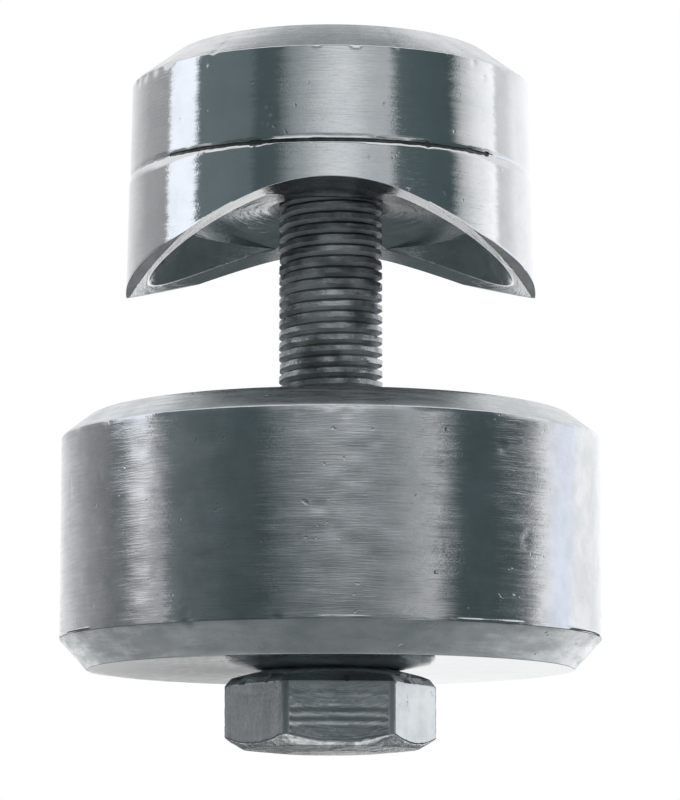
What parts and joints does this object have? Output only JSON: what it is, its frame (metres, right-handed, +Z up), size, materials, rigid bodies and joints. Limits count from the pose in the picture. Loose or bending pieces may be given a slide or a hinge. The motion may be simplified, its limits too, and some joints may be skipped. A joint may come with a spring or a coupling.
{
  "type": "knockout punch",
  "caption": "Knockout punch for round holes in sheet metal: an arched punch with cutting tips over a cup-shaped die, drawn together by a hex-head draw bolt.",
  "frame": {"origin": "middle of the flat foot of the draw bolt's hexagon head, the lowest point of the part", "axes": "+Z up the bolt's axis from its head to the punch; the punch's cutting tips lie on +X and -X"},
  "size_m": [0.0484, 0.0484, 0.0628],
  "materials": {
    "die_steel": "turned, worn",
    "bolt_steel": "forged, oiled",
    "punch_steel": "ground, worn"
  },
  "bodies": {
    "die": {"die": "die_steel"},
    "draw_bolt": {"draw_bolt": "bolt_steel"},
    "punch": {"punch": "punch_steel"}
  },
  "joints": [
    {"name": "bolt_turn", "type": "hinge", "parent": "die", "child": "draw_bolt", "pos_m": [0, 0, 0.0073], "axis": [0, 0, 1], "range_deg": [-1260, 8748]},
    {"name": "punch_draw", "type": "slide", "parent": "die", "child": "punch", "axis": [0, 0, 1], "range_m": [-0.0244, 0.0036]}
  ],
  "couplings": [
    {"joint": "punch_draw", "follows": "bolt_turn", "m_per_rad": -0.00015915}
  ]
}
